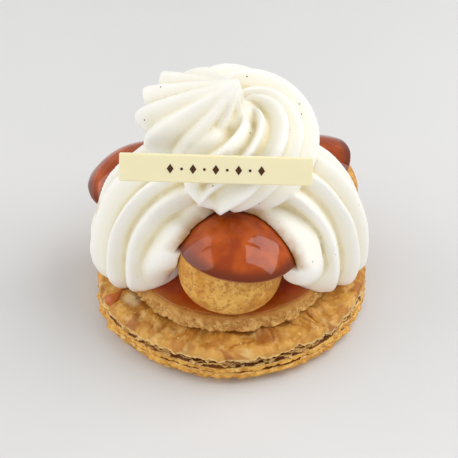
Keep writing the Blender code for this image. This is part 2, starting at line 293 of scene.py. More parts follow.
class Look:
    """A Principled material and short ways to add its nodes."""

    def __init__(self, name, roughness, specular=0.5, soft=None):
        self.material = bpy.data.materials.new(name)
        self.material.use_nodes = True
        self.tree = self.material.node_tree
        self.shader = self.tree.nodes["Principled BSDF"]
        sockets = {"Roughness": roughness, "Specular IOR Level": specular}
        if soft:
            sockets.update(zip(("Subsurface Weight", "Subsurface Scale", "Subsurface Radius"), soft))
        for socket, value in sockets.items():
            self.shader.inputs[socket].default_value = value
        self.place = self.add("ShaderNodeTexCoord").outputs["Object"]
        self.colour = self.normal = None

    def add(self, kind, inputs=None, **settings):
        """A node; an input that is a socket is linked, a colour of three numbers is opaque."""
        node = self.tree.nodes.new(kind)
        for name, value in settings.items():
            setattr(node, name, value)
        for socket, value in (inputs or {}).items():
            target = node.inputs[socket]
            if isinstance(value, bpy.types.NodeSocket):
                self.tree.links.new(value, target)
            else:
                target.default_value = (*value, 1.0) if target.type == "RGBA" else value
        return node

    def noise(self, pitch, detail=3.0, rough=0.55, distortion=0.0):
        """Noise whose features are about pitch millimetres across."""
        inputs = {
            "Vector": self.place,
            "Scale": 1.0 / (pitch * MM),
            "Detail": detail,
            "Roughness": rough,
            "Distortion": distortion,
        }
        return self.add("ShaderNodeTexNoise", inputs).outputs["Fac"]

    def range(self, value, low, high, bottom=0.0, top=1.0):
        inputs = {0: value, 1: low, 2: high, 3: bottom, 4: top}
        return self.add("ShaderNodeMapRange", inputs, interpolation_type="SMOOTHSTEP").outputs[0]

    def patches(self, low, high, *shape, **more):
        """Noise that is 0 below low and 1 above high, its shape as for noise."""
        return self.range(self.noise(*shape, **more), low, high)

    def dots(self, pitch, inner, outer, low, high, spread):
        """Small round dots, only where a wide noise is high."""
        inputs = {"Vector": self.place, "Scale": 1.0 / (pitch * MM)}
        cells = self.add("ShaderNodeTexVoronoi", inputs).outputs["Distance"]
        return self.times(self.range(cells, inner, outer, 1.0, 0.0), self.patches(low, high, spread, 1.0))

    def math(self, operation, a, b):
        return self.add("ShaderNodeMath", {0: a, 1: b}, operation=operation).outputs[0]

    def times(self, a, b):
        return self.math("MULTIPLY", a, b)

    def ground(self, share, first, second):
        """Starts the colour: first where share is 0 and second where it is 1."""
        inputs = {0: share, 6: first, 7: second}
        self.colour = self.add("ShaderNodeMix", inputs, data_type="RGBA").outputs[2]

    def over(self, colour, share, strength=None):
        """Lays a colour over the one so far, where share is 1."""
        if strength:
            share = self.times(share, strength)
        self.ground(share, self.colour, colour)

    def attribute(self, name):
        return self.add("ShaderNodeAttribute", attribute_name=name).outputs["Fac"]

    def from_place(self, operation, vector):
        """The place's DISTANCE from a point, or its DOT_PRODUCT with a vector, in metres."""
        inputs = {0: self.place, 1: tuple(vector)}
        return self.add("ShaderNodeVectorMath", inputs, operation=operation).outputs["Value"]

    def spot(self, middle, fades, most):
        """A round spot on the surface that fades between two distances from its middle."""
        off = self.from_place("DISTANCE", Vector(middle) * MM)
        return self.range(off, *(far * MM for far in fades), most, 0.0)

    def bump(self, height, depth, strength):
        """Adds relief on top of what there is."""
        inputs = {"Height": height, "Distance": depth * MM, "Strength": strength}
        if self.normal:
            inputs["Normal"] = self.normal
        self.normal = self.add("ShaderNodeBump", inputs).outputs["Normal"]

    def finish(self):
        for socket, value in (("Base Color", self.colour), ("Normal", self.normal)):
            if value:
                self.tree.links.new(value, self.shader.inputs[socket])
        return self.material


def dome_balls():
    """The middle of each caramel dome's ball, a point in its rim's plane and its axis, in metres."""
    for placing in PUFFS.values():
        place = puff_frame(*placing[:4])
        rim = place @ Vector((placing[4], 0, DOME_RIM_OVER_PUFF))
        axis = place.to_3x3() @ Vector((0, 0, 1))
        yield (rim + axis * (DOME_HEIGHT - DOME_BALL)) * MM, rim * MM, axis


# How far off a dome's ball the cream's caramel stain and the painted contact shadow, a dark line along
# the caramel, fade out.
STAIN_FADES = (0.4, 4.2)
CONTACT_SHADOW_FADES = (0.25, 0.7)
# Both stop in a band across the dome's rim, below and above it.
RIM_BAND = (2.5, 0.3)
# A hollow in the cream beside the front puff, with caramel stain and painted shade in it, and the
# distances from it over which both fade.
STAINED_SHADED_HOLLOW = (-16.8, -22.0, 30.0)
HOLLOW_FADES = (2.0, 6.5)


def cream_look():
    """Ivory cream, with painted shade, yellow, in its grooves and creases and a painted highlight on
    its crests; stained by caramel where it meets it, with a painted contact shadow along the caramel.
    """
    look = Look("cream_look", 0.45, 0.3, SOFT_CREAM)
    look.ground(look.noise(9.0), (0.88, 0.85, 0.725), (0.895, 0.87, 0.765))
    hollow = look.attribute("hollow")
    crease = look.attribute("crease")
    # Painted highlight: lighter where the surface bulges, on the crests.
    look.over((0.93, 0.915, 0.86), look.range(hollow, 0.1, -0.6))
    # Painted shade: yellower in the grooves, and darker and yellower still in fine creases.
    look.over((0.80, 0.71, 0.45), look.range(hollow, 0.05, 0.9, 0.0, 0.75))
    look.over((0.72, 0.59, 0.30), look.range(crease, 0.03, 0.20, 0.0, 0.6))
    blotch = look.range(look.noise(5.0, 2.0), 0.30, 0.66, 0.5, 1.0)
    below, above = RIM_BAND
    for middle, rim, axis in dome_balls():
        off = look.from_place("DISTANCE", middle)
        height, level = look.from_place("DOT_PRODUCT", axis), rim.dot(axis)
        upper = look.range(height, level - below * MM, level + above * MM)
        soft = look.range(off, *((DOME_BALL + far) * MM for far in STAIN_FADES))
        soft = look.times(look.math("SUBTRACT", 1.0, soft), blotch)
        look.over((0.48, 0.26, 0.085), look.times(soft, upper))
        # Painted contact shadow: a dark line on the cream where it meets the caramel.
        line = look.range(off, *((DOME_BALL + far) * MM for far in CONTACT_SHADOW_FADES), 0.9, 0.0)
        look.over((0.12, 0.04, 0.012), look.times(line, upper))
    # Caramel stain and painted shade in the hollow beside the front puff.
    look.over((0.60, 0.38, 0.15), look.times(look.spot(STAINED_SHADED_HOLLOW, HOLLOW_FADES, 0.75), blotch))
    look.over((0.20, 0.14, 0.09), look.dots(2.6, 0.030, 0.048, 0.5, 0.62, 14.0), 0.45)
    look.bump(look.noise(0.55, 2.0), 0.05, 0.5)
    look.bump(look.noise(4.0), 0.25, 0.4)
    return look.finish()


def thin_caramel_look():
    """A thin coat of caramel, redder in the middle and lighter at its edge."""
    look = Look("thin_caramel_look", 0.06, 0.42, SOFT_CARAMEL)
    look.ground(look.patches(0.3, 0.7, 6.0), (0.42, 0.046, 0.005), (0.60, 0.090, 0.010))
    look.over((0.49, 0.135, 0.019), look.range(look.attribute("edge"), 0.35, 0.95))
    look.bump(look.noise(2.2), 0.10, 0.6)
    return look.finish()


def caramel_look():
    """Set caramel: clear amber brown, clouded, with bubbles, with painted shade near its rim and a
    painted highlight on its edge below.
    """
    look = Look("caramel_look", 0.06, 0.42, SOFT_CARAMEL)
    cloud = look.patches(0.35, 0.7, 7.0, 2.0, distortion=0.6)
    look.ground(cloud, (0.33, 0.046, 0.004), (0.50, 0.088, 0.007))
    look.over((0.07, 0.012, 0.003), look.dots(3.3, 0.05, 0.075, 0.52, 0.6, 11.0))
    rim = look.attribute("rim")
    # Painted shade darkens the caramel near its rim, and a painted highlight lightens its edge below.
    look.over((0.16, 0.026, 0.005), look.range(rim, 0.84, 0.99))
    look.over((0.40, 0.12, 0.02), look.range(rim, 1.0, 1.03))
    look.bump(look.noise(9.0, 1.0), 0.25, 0.5)
    return look.finish()


def choux_look():
    """Baked choux: golden tan, mottled, with pores and brown flecks, browner at its foot."""
    look = Look("choux_look", 0.6, 0.25)
    look.ground(look.patches(0.35, 0.65, 6.0), (0.63, 0.28, 0.042), (0.82, 0.47, 0.11))
    look.over((0.46, 0.17, 0.028), look.patches(0.45, 0.62, 1.7, 4.0, 0.7), 0.8)
    look.over((0.36, 0.15, 0.045), look.patches(0.56, 0.68, 0.75, 3.0, 0.65), 0.75)
    look.over((0.22, 0.085, 0.025), look.range(look.noise(1.1, 3.0, 0.6), 0.64, 0.70, 0.0, 0.7))
    look.over((0.44, 0.17, 0.04), look.attribute("brown"))
    look.bump(look.noise(0.7, 4.0, 0.7), 0.22, 0.8)
    return look.finish()


def crumb_look():
    """The disc's thinly glazed top, and its torn side with holes in the crumb."""
    look = Look("disc_look", 0.55, 0.35)
    look.ground(look.patches(0.38, 0.62, 2.2, 4.0, 0.7), (0.79, 0.48, 0.15), (0.52, 0.235, 0.045))
    look.over((0.36, 0.145, 0.035), look.patches(0.54, 0.66, 0.9, 4.0, 0.7))
    crumb = look.colour
    look.ground(look.patches(0.3, 0.7, 4.0), (0.50, 0.20, 0.030), (0.62, 0.30, 0.060))
    look.over(crumb, look.attribute("side"))
    look.over((0.45, 0.122, 0.019), look.range(look.attribute("glaze"), 0.1, 0.9))
    look.bump(look.noise(0.8, 4.0, 0.7), 0.45, 0.9)
    return look.finish()


# A smear on the top sheet at the left, pale with a painted reflection: its middle and the distances over
# which it fades.
SMEAR_SHEEN = (-31.0, -18.5, 12.5)
PATCH_FADES = (1.2, 4.0)
# The heights between which the top sheet's colour gives way to the lower leaves'.
SHEET_TO_LEAVES = (6.8, 5.8)


def pastry_look():
    """Puff pastry: tan, pale and toasted in patches, yellower below, streaked, pale at the torn edges,
    with a smear's painted reflection, and painted shade in red brown in its gaps, caves and creases."""
    look = Look("pastry_look", 0.38, 0.32)
    look.ground(look.patches(0.38, 0.62, 2.4, 4.0, 0.65), (0.86, 0.48, 0.088), (0.62, 0.27, 0.036))
    lower = look.colour
    look.ground(look.patches(0.36, 0.64, 4.5), (0.70, 0.37, 0.078), (0.52, 0.22, 0.034))
    look.over((0.84, 0.58, 0.225), look.patches(0.52, 0.68, 6.0, 3.0, 0.5, 0.5), 0.7)
    look.over((0.38, 0.12, 0.018), look.patches(0.53, 0.68, 6.5, 3.0, 0.5, 0.7), 0.85)
    height = look.add("ShaderNodeSeparateXYZ", {0: look.place}).outputs[2]
    look.over(lower, look.range(height, *(z * MM for z in SHEET_TO_LEAVES)))
    look.over((0.34, 0.12, 0.02), look.patches(0.58, 0.70, 1.0, 4.0, 0.7, 1.0), 0.45)
    # A syrup smear on the top sheet, with its painted reflection in pale colour.
    look.over((0.86, 0.69, 0.40), look.spot(SMEAR_SHEEN, PATCH_FADES, 0.8))
    edge = look.range(look.attribute("edge"), 0.3, 1.0, 0.0, 0.85)
    look.over((0.92, 0.67, 0.29), look.times(edge, look.patches(0.32, 0.55, 1.6)))
    # Painted shade, red brown, in the gaps between leaves, in caves and in the sheet's creases.
    look.over((0.19, 0.050, 0.012), look.range(look.attribute("gap"), 0.1, 0.7))
    look.bump(look.noise(0.6, 4.0, 0.65), 0.16, 0.8)
    look.bump(look.noise(2.8, distortion=1.0), 0.5, 0.7)
    return look.finish()


def plain_look(look, pitch, first, second, relief=None):
    """A colour that drifts between two, with relief as (pitch, depth, strength) if any."""
    look.ground(look.noise(*pitch), first, second)
    if relief:
        look.bump(look.noise(relief[0]), *relief[1:])
    return look.finish()


def chocolate_look():
    look = Look("white_chocolate_look", 0.38, soft=SOFT_CHOCOLATE)
    return plain_look(look, (11.0,), (0.86, 0.78, 0.47), (0.90, 0.83, 0.56), (5.0, 0.15, 0.5))


def dark_look(name, roughness, first, second):
    return plain_look(Look(name, roughness, 0.15), (0.6,), first, second, (0.3, 0.05, 0.6))


# ---- puff pastry round

AROUND_BASE = 860
# The top sheet: radius where it comes out from under the disc and where it turns down, how far it
# turns out past that, height of its torn edge, and the shares of its way that are flat and rounded.
SHEET_INNER = 30.5
SHEET_TURN = 41.1
SHEET_LIP = 1.9
SHEET_EDGE = 9.5
SHEET_FLAT = 0.72
SHEET_ROUND = 0.28
# Where it is pleated, and where its torn edge sticks up: azimuths in degrees.
PLEATS_LEFT = -42
PLEATS_BACK = 70
RAISED_TIP = -5
# The thin leaves right under it: how many, how far out, how deep each lies back in a cave.
THIN_LEAVES = 4
THIN_RADIUS = 42.3
CAVE_DEPTHS = (3.3, 3.0, 2.4, 1.3)
# The three thick bundles of leaves below: height of the top one and the radius of each.
BUNDLE_TOP = 6.2
BUNDLE_RADII = (43.0, 43.2, 42.3)
# Where the leaves under the top sheet stand apart: (from azimuth, to azimuth, how far).
CAVES = (
    (-117, -94, 0.6), (-88, -67, 1.0), (-52, -39, 1.0), (-25, -8, 0.6), (15, 40, 0.9),
    (75, 95, 0.6), (130, 160, 0.9),
)
LOW_CAVES = ((-78, -58, 1.0), (-20, 5, 0.7), (50, 75, 0.8), (165, 190, 0.7))
LOOSE_FLAKES = 230
FLAKE_AROUND = 14
FLAKE_HALF_THICKNESS = 0.06
CRUMBS = 46
CRUMB_REACH = (34.5, 41.5)


def base_drift(angles):
    """The round isn't quite round."""
    return round_noise(angles, 0.0, 1.0, 3.0, 1, 0.45) * 0.9


def opened(angles, caves, seed):
    """How far leaves stand apart, 0 to 1, by azimuth."""
    ragged = round_noise(angles, seed, 16.0, 43.0, 2) * 4.0
    made = 0.14 + 0.50 * round_noise(angles, seed, 7.0, 41.0, 2)
    for start, end, amount in caves:
        middle, half = (start + end) / 2, (end - start) / 2
        off = angle_off(np.degrees(angles), middle) + ragged
        made = np.maximum(made, amount * (1 - step_up(off, half - 6, half + 3)))
    return np.clip(made, 0, 1)


def terraces(spot, pitch, seed, depth):
    """Patches with crisp borders, where a leaf has flaked off."""
    patch = wobble(spot * np.array([1.0, 1.0, 1.8]), pitch, seed, 3)
    raised = step_up(patch, -0.02, 0.03) + step_up(patch, 0.26, 0.31)
    return depth * (raised - step_up(patch, -0.32, -0.28))


def pastry_sheet(angles, drift):
    """The crinkled top sheet as (radius, height, paleness, painted shade in its creases) rows, and its
    torn edge's height.
    """
    torn = round_noise(angles, 1.7, BASE_RADIUS, 21.0, 4, 3.0) * 0.75
    torn = torn + round_noise(angles, 3.3, BASE_RADIUS, 25.0, 2, 1.1) * 0.35
    torn = torn + np.minimum(0, round_noise(angles, 8.7, BASE_RADIUS, 22.0, 2, 4.5) + 0.12) * 3.2
    edge = np.clip(SHEET_EDGE + 0.5 * round_noise(angles, 2.0, 2.6, 23.0) - torn, 7.9, 11.4)
    lift = np.maximum(0, round_noise(angles, 5.0, 9.0, 24.0, 2))
    degrees = np.degrees(angles)
    raised = 1.5 * np.exp(-((angle_off(degrees, RAISED_TIP) / 5.0) ** 2))
    pleats = 1 - step_up(angle_off(degrees, PLEATS_LEFT), 7, 15)
    pleats = np.maximum(pleats, 0.8 * (1 - step_up(angle_off(degrees, PLEATS_BACK), 8, 20)))
    pleats = np.maximum(pleats, 0.35)
    flat_top = BASE_HEIGHT - 0.25
    rows = []
    for share in np.concatenate([np.linspace(0, SHEET_FLAT, 15), np.linspace(0.75, 1.0, 11)]):
        over = max(0.0, (share - SHEET_FLAT) / SHEET_ROUND) * math.pi / 2
        flat = min(1.0, share / SHEET_FLAT)
        radius = SHEET_INNER + (SHEET_TURN + drift - SHEET_INNER) * flat
        radius = radius + (SHEET_LIP + lift) * math.sin(over)
        spot = turned(radius, 12.0 - 3.0 * share, angles)
        fold = wobble(circle_at(angles, 0.4, 11.0) + spot * 0.04, 1.0, 5.0, 2)
        crease = (1 - step_up(np.abs(fold + 0.05), 0.0, 0.14)) * pleats * step_up(share, 0.05, 0.3)
        crease = crease * step_up(wobble(spot, 6.0, 14.0), -0.1, 0.3)
        bulge = wobble(spot, 7.5, 9.0, 2) + np.abs(wobble(spot, 4.0, 10.0, 2)) * 0.7 - 0.2
        bulge = bulge + terraces(spot, 7.0, 12.0, 0.13) + fold * 0.55 * pleats
        ridges = 0.5 - np.abs(wobble(circle_at(angles, 0.0, 16.0) + spot * 0.05, 1.0, 7.0, 2))
        bulge = bulge + 0.75 * ridges * step_up(wobble(spot, 12.0, 8.0), -0.15, 0.2)
        bulge = bulge + 0.5 * (0.4 - np.abs(wobble(spot, 4.6, 13.0, 2)))
        bulge = (bulge - 0.6 * crease) * step_up(share, 0.0, 0.15)
        drop = (flat_top - edge) * (1 - math.cos(over))
        height = np.minimum(flat_top + bulge * math.cos(over) - drop, BASE_HEIGHT + 1.2)
        height = height + raised * float(step_up(share, 0.4, SHEET_FLAT))
        radius = radius + 0.55 * bulge * math.sin(over)
        # The last value is painted shade along the pleats' creases.
        rows.append((radius, height, step_up(share, 0.93, 1.0), 0.45 * crease))
    return rows, edge


def leaf_rows(angles, top, bottom, out, rough, gap, here, steps, shade=0.0):
    """Rows of one leaf or bundle of leaves from its top to its foot, and of the gap under it.

    Here says how far the leaves stand apart, and shade how much painted shade darkens the leaf and
    dims its pale edges; each row's last value is painted shade, deepest in the gap under the leaf.
    """
    thick = top - bottom
    soft = np.minimum(0.5, 0.4 * thick)
    rows = [(out - 0.3 - soft, top, 0.0, 0.5 + 0.4 * here)]
    for step in range(steps + 1):
        share = step / steps
        height = top - thick * share
        spot = turned(out, height, angles)
        lump = wobble(spot, 5.0, 27.0, 2) * 0.6 * rough + terraces(spot, 3.4, 28.0, 0.34 * rough)
        lump = lump + wobble(spot, 1.3, 29.0, 2) * 0.22
        radius = out - (abs(2 * share - 1) ** 4) * soft + lump
        pale = (0.35 + 0.65 * (step in (0, steps))) * (1 - shade)
        rows.append((radius, height, pale, shade + 0.12 * (step == steps)))
    # Painted shade in the gap under the leaf, darker where the leaves stand apart.
    dark = 0.5 + 0.5 * here
    deep = 0.5 + 1.6 * here
    return rows + [(out - deep, bottom - share * gap, 0.0, dark) for share in (0.1, 0.9)]


def pastry_base(look):
    angles = ring_angles(AROUND_BASE)
    drift = base_drift(angles)
    rows, edge = pastry_sheet(angles, drift)
    last = rows[-1][0]
    wide = opened(angles, CAVES, 1.3)
    # Round the sheet's torn edge: a pale lip, then painted shade under it, deeper where the leaves stand
    # apart.
    rows.append((last - 0.1, edge - 0.25, 1.0, 0.0))
    rows.append((last - 0.6, edge - 0.4, 0.3, 0.3 + 0.4 * wide))
    rows.append((last - 0.9 - 2.6 * wide, edge - 0.35, 0.0, 0.5 + 0.5 * wide))
    low = BUNDLE_TOP + 0.5 * round_noise(angles, 0.0, 3.0, 14.0)
    thin_top = edge - 0.45
    room = np.maximum(thin_top - low, 0.9)
    for leaf in range(THIN_LEAVES):
        sway = round_noise(angles, leaf * 2.3, 9.0, 31.0, 2) * 0.12 * room / THIN_LEAVES
        here = np.clip(opened(angles, CAVES, 1.3 + leaf) * (1.25 - 0.2 * leaf), 0, 1)
        gap = room / THIN_LEAVES * (0.18 + 0.62 * here)
        top = thin_top - room * leaf / THIN_LEAVES - (0.5 * gap if leaf == 0 else 0.05) + sway
        bottom = top - np.maximum(room / THIN_LEAVES - gap, 0.16)
        out = THIN_RADIUS + drift + round_noise(angles, leaf * 5.1, BASE_RADIUS, 33.0, 4, 2.2) * 0.8
        out += round_noise(angles, leaf * 3.7, 9.0, 35.0, 2) * 0.9
        back = wide * CAVE_DEPTHS[leaf] * (0.75 + 0.5 * round_noise(angles, leaf * 6.6, 20.0, 38.0, 2))
        # Leaves set back in a cave get painted shade by how far back they lie.
        rows += leaf_rows(angles, top, bottom, out - back, 0.3, gap, here, 2, 0.3 * back)
    parted = opened(angles, LOW_CAVES, 6.1)
    middle_top = 4.1 + 0.35 * round_noise(angles, 4.0, 3.4, 15.0)
    tops = (low - 0.2, middle_top, 2.0 + 0.25 * round_noise(angles, 7.0, 3.8, 16.0))
    for leaf, top in enumerate(tops):
        here = parted if leaf == 0 else opened(angles, (), 7.7 + leaf)
        gap = 0.16 + 0.85 * here
        bottom = (tops[leaf + 1] + gap) if leaf < 2 else 0.0 * top
        out = BUNDLE_RADII[leaf] + drift
        out += round_noise(angles, leaf * 4.4, BASE_RADIUS, 36.0, 3, 3.0) * 0.35
        rows += leaf_rows(angles, top, bottom, out, 1.0, gap, here, 7)
    # The lowest bundle stands on the floor, with no gap under it.
    rows = rows[:-2]
    radius, height, pale, gap = (
        np.array([np.broadcast_to(row[k], angles.shape) for row in rows]) for k in range(4)
    )
    radius = radius - 1.5 * step_up(height, 2.4, 0.0) ** 2 * (radius > 41)
    rings = turned(radius, np.maximum(height, 0.0), angles)
    made = skinned("pastry_round", rings, look, "puff_pastry")
    # The gap numbers are painted shade; the edge numbers are paleness.
    set_values(made, edge=np.append(pale, HUBS), gap=np.append(gap, HUBS))
    return made


def flake(centre, across, along, normal, width, length):
    """A thin torn flake of pastry: a small bent sheet with a ragged outline."""
    turns = ring_angles(FLAKE_AROUND)
    ragged = 0.68 + 0.55 * round_noise(turns, centre[0] * 3, 1.4, 0.0)
    rings = []
    for side, share in ((1, 0.02), (1, 0.6), (1, 1.0), (-1, 1.0), (-1, 0.6), (-1, 0.02)):
        u = np.cos(turns) * share * ragged * width / 2
        v = np.sin(turns) * share * ragged * length / 2
        rise = 0.3 * (u * u / width + v * v / length) + side * FLAKE_HALF_THICKNESS
        rings.append(centre + np.stack([u, v, rise], 1) @ np.array([across, along, normal]))
    return skin(np.array(rings))


def pastry_flakes(look):
    """Loose flakes that cling to the leaves' edges."""
    rng = random.Random(4)
    parts = []
    for _ in range(LOOSE_FLAKES):
        turn = rng.uniform(0, 2 * math.pi)
        height = rng.choice((rng.uniform(1.5, 9.5), rng.uniform(6.0, 9.5)))
        wander = float(base_drift(np.array([turn]))[0])
        out = 42.6 + wander + rng.uniform(-0.9, 0.35)
        radial = np.array([math.cos(turn), math.sin(turn), 0.0])
        along = np.array([-math.sin(turn), math.cos(turn), rng.uniform(-0.25, 0.25)])
        tilt = rng.uniform(-0.5, 0.9)
        across = radial * math.cos(tilt) + np.array([0, 0, -math.sin(tilt)])
        centre = radial * out + np.array([0, 0, height])
        width, length = rng.uniform(0.6, 2.0), rng.uniform(1.4, 5.0)
        parts.append(flake(centre, across, along, np.cross(across, along), width, length))
    made = joined("pastry_flakes", parts, look, "puff_pastry")
    set_values(made, edge=0.8, gap=0.0)
    return made


def pebble(point, normal, size, seed):
    """A small uneven grain that sits in what it lies on."""
    bm = bmesh.new()
    bmesh.ops.create_icosphere(bm, subdivisions=1, radius=1.0)
    turn = normal.to_track_quat("Z", "Y").to_matrix()
    corners, faces = parts_of(bm)
    points = []
    for corner in map(Vector, corners):
        local = corner * size * (1 + 0.35 * noise.noise(corner * 1.3 + Vector((seed, 0, 0))))
        local.z *= 0.55
        points.append(tuple(point + turn @ local + normal * size * 0.1))
    return points, faces


def pastry_crumbs(tree, look):
    """A few crumbs on the round, beside the disc."""
    rng = random.Random(21)
    parts = []
    for index in range(CRUMBS):
        turn = rng.uniform(0, 2 * math.pi)
        out = rng.uniform(*CRUMB_REACH)
        above = Vector((math.cos(turn) * out, math.sin(turn) * out, 30.0)) * MM
        point, normal, _, _ = tree.ray_cast(above, Vector((0, 0, -1)))
        if point:
            parts.append(pebble(point / MM, normal, rng.uniform(0.18, 0.5), 90 + index))
    made = joined("pastry_crumbs", parts, look, "puff_pastry")
    set_values(made, edge=0.8, gap=0.0)
    return made


# ---- choux disc and caramel on it

AROUND_DISC = 480
DISC_STEPS = 24
AROUND_POOL = 360
POOL_EDGE = 30.9
POOL_RISE = 0.26
# The run of caramel at the left of the round: (pixel column, pixel row, half width).
DRIP = (
    (128.0, 285.5, 0.6), (124.0, 288.5, 0.65), (120.5, 291.5, 0.8), (117.0, 295.0, 1.5),
    (113.0, 298.8, 2.3), (109.5, 302.0, 2.5), (107.0, 304.5, 1.9),
)
DRIP_FLATNESS = 0.75
DRIP_SUNK = 0.1


def disc_edge(angles):
    return round_noise(angles, 0.0, 1.0, 11.0, 1, 0.6) * 0.9


def disc_flare(angles):
    """How far the disc's foot stands out past its rim, most of all at the front left."""
    lobed = round_noise(angles, 3.0, 2.6, 18.0, 2) * 0.9
    return 2.1 + lobed + np.cos(angles - math.radians(-125.0)) * 0.7


def choux_disc(look):
    angles = ring_angles(AROUND_DISC)
    outward = turned(1.0, 0.0, angles)
    low = disc_edge(angles)
    rings, sides, glazes = [], [], []

    def add_ring(radius, height, crag, side, glaze):
        ring = turned(radius, height, angles)
        pits = np.minimum(0, wobble(ring, 1.5, 13.0, 2) - 0.05) * 1.3
        lumps = wobble(ring, 5.5, 12.0, 2) * 1.3 + pits
        ring = ring + outward * (lumps * crag)[:, None]
        rise = wobble(ring, 3.0, 17.0, 2) * (0.15 + 0.45 * crag)
        ring[:, 2] += rise * float(np.mean(radius) > 24)
        rings.append(ring)
        sides.append(side)
        glazes.append(glaze)

    for share in (0.5, 0.80, 0.86, 0.90, 0.93, 0.95, 0.97):
        radius = share * DISC_RADIUS + low * step_up(share, 0.7, 0.9)
        add_ring(radius, DISC_TOP, 0.0, 0.0, step_up(share, 1.0, 0.86))
    thick = DISC_TOP - DISC_BOTTOM
    flare = disc_flare(angles)
    for step in range(1, DISC_STEPS + 1):
        share = step / DISC_STEPS
        shoulder = math.sin(min(1.0, share * 3.2) * math.pi / 2)
        tucked = 2.4 * (1 - step_up(share, 1.0, 0.82))
        radius = DISC_RADIUS * 0.972 + low + 0.7 * shoulder + flare * share**1.2 - tucked
        crag = step_up(share, 0.05, 0.35)
        add_ring(radius, DISC_TOP - thick * share, crag, step_up(share, 0.06, 0.30), 0.0)
    add_ring(0.5 * DISC_RADIUS, DISC_BOTTOM, 0.0, 0.0, 0.0)
    points, faces = skin(np.array(rings))
    points[:, 2] = np.maximum(points[:, 2], DISC_BOTTOM)
    made = object_from("choux_plate", points, faces, look, "choux")
    sides, glazes = (np.append(np.repeat(rows, AROUND_DISC), HUBS) for rows in (sides, glazes))
    set_values(made, side=sides, glaze=glazes)
    return made


def caramel_pool(look):
    """Caramel that ran off the puffs and set on the disc, thick round their feet."""
    angles = ring_angles(AROUND_POOL)
    edge = POOL_EDGE + round_noise(angles, 2.0, 4.0, 51.0, 2) * 0.6 + 0.8 * disc_edge(angles)
    rows, rims = [], []
    for share in (0.0, 0.3, 0.6, 0.8, 0.9, 0.95, 0.98, 1.0):
        ring = turned(np.maximum(edge * share, 0.3), DISC_TOP + 0.06, angles)
        swell = wobble(ring, 7.0, 52.0, 2) * 0.12 * (1 - share**8)
        ring[:, 2] += POOL_RISE * (1 - share**3) + swell
        rows.append(ring)
        rims.append(share**5)
    for radius, rim in ((edge - 0.1, 1.0), (0.3, 0.0)):
        rows.append(turned(radius, DISC_TOP - 0.25, angles))
        rims.append(rim)
    made = skinned("caramel_pool", rows, look, "caramel")
    set_values(made, edge=np.append(np.repeat(rims, AROUND_POOL), HUBS))
    return made


def caramel_drip(tree, look):
    """The rounded run of caramel that lies on the round."""
    spots = [(*seen_at(tree, *pixel), wide) for *pixel, wide in DRIP]
    rows = blend_stations([(*point, *normal, wide) for point, normal, wide in spots], 28)
    middles, widths = rows[:, :3], rows[:, 6]
    along = unit_rows(np.gradient(middles, axis=0))
    normals = unit_rows(rows[:, 3:6])
    side = np.cross(along, normals)
    ends = np.sin(np.linspace(0.06, math.pi - 0.06, len(rows))) ** 0.35
    angles = ring_angles(20)
    spokes = np.cos(angles)[None, :, None] * side[:, None]
    spokes = spokes + np.sin(angles)[None, :, None] * normals[:, None] * DRIP_FLATNESS
    rings = (middles - normals * DRIP_SUNK)[:, None] + spokes * (widths * ends)[:, None, None]
    made = skinned("caramel_drip", rings, look, "caramel")
    set_values(made, edge=0.75)
    return made


# ---- puffs and their domes

# Points round and rings of a shown puff or dome, and of the plainer one that the cream is cut by.
PUFF_MESH = (168, 92)
PUFF_CUTTER = (96, 60)
DOME_MESH = (168, 30)
DOME_CUTTER = (96, 20)
# The dome's edge from its rim down: (how far in, share of the edge's height).
DOME_EDGE_ROWS = ((-0.05, 0.18), (-0.02, 0.40), (0.12, 0.66), (0.38, 0.84), (0.8, 0.9))


def puff_frame(azimuth, distance, lean, roll):
    turn = math.radians(azimuth)
    middle = Vector((math.cos(turn) * distance, math.sin(turn) * distance, 0))
    middle.z = DISC_TOP + PUFF_HEIGHT_OVER_DISC
    return (
        Matrix.Translation(middle)
        @ Matrix.Rotation(turn + math.pi / 2, 4, "Z")
        @ Matrix.Rotation(math.radians(lean), 4, "X")
        @ Matrix.Rotation(math.radians(roll), 4, "Y")
    )


def dome_frame(placing):
    return puff_frame(*placing[:4]) @ Matrix.Translation((placing[4], 0, DOME_RIM_OVER_PUFF))


def puff_points(extra, around, rings, seed=None):
    """A flattened ball, lumpy where a seed is given, as rings from top to foot."""
    polar = np.linspace(0.012, math.pi - 0.012, rings)[:, None]
    unit = turned(np.sin(polar), np.cos(polar), ring_angles(around)[None, :])
    up = np.clip(np.abs(unit[..., 2]), 0, 1)
    squarer = 1 + 0.05 * np.sin(2 * np.arcsin(up)) ** 2
    size = np.array([PUFF_RADIUS + extra, PUFF_RADIUS + extra, PUFF_HALF_HEIGHT + extra])
    rows = unit * size * squarer[..., None]
    if seed is not None:
        dent = 0.5 + 0.5 * wobble(rows, 9.0, seed)
        pores = np.maximum(0, wobble(rows, 1.3, seed + 3.0, 2) - 0.30) * 0.9
        grain = wobble(rows, 0.9, seed + 5.0, 2) * 0.07
        rows = rows - unit * (dent * 0.5 + np.minimum(pores, 0.28) - grain)[..., None]
    return rows


def choux_puff(name, placing, seed, look):
    """A puff, flat where it stands on the disc and a little browner there."""
    rings = moved(puff_points(0.0, *PUFF_MESH, seed), puff_frame(*placing[:4]))
    floor = DISC_TOP + 0.3
    rings[..., 2] = np.maximum(rings[..., 2], floor)
    points, faces = skin(rings)
    made = object_from(name, points, faces, look, "choux")
    set_values(made, brown=step_up(points[:, 2], floor + 3.0, floor + 0.2) * 0.45)
    return made


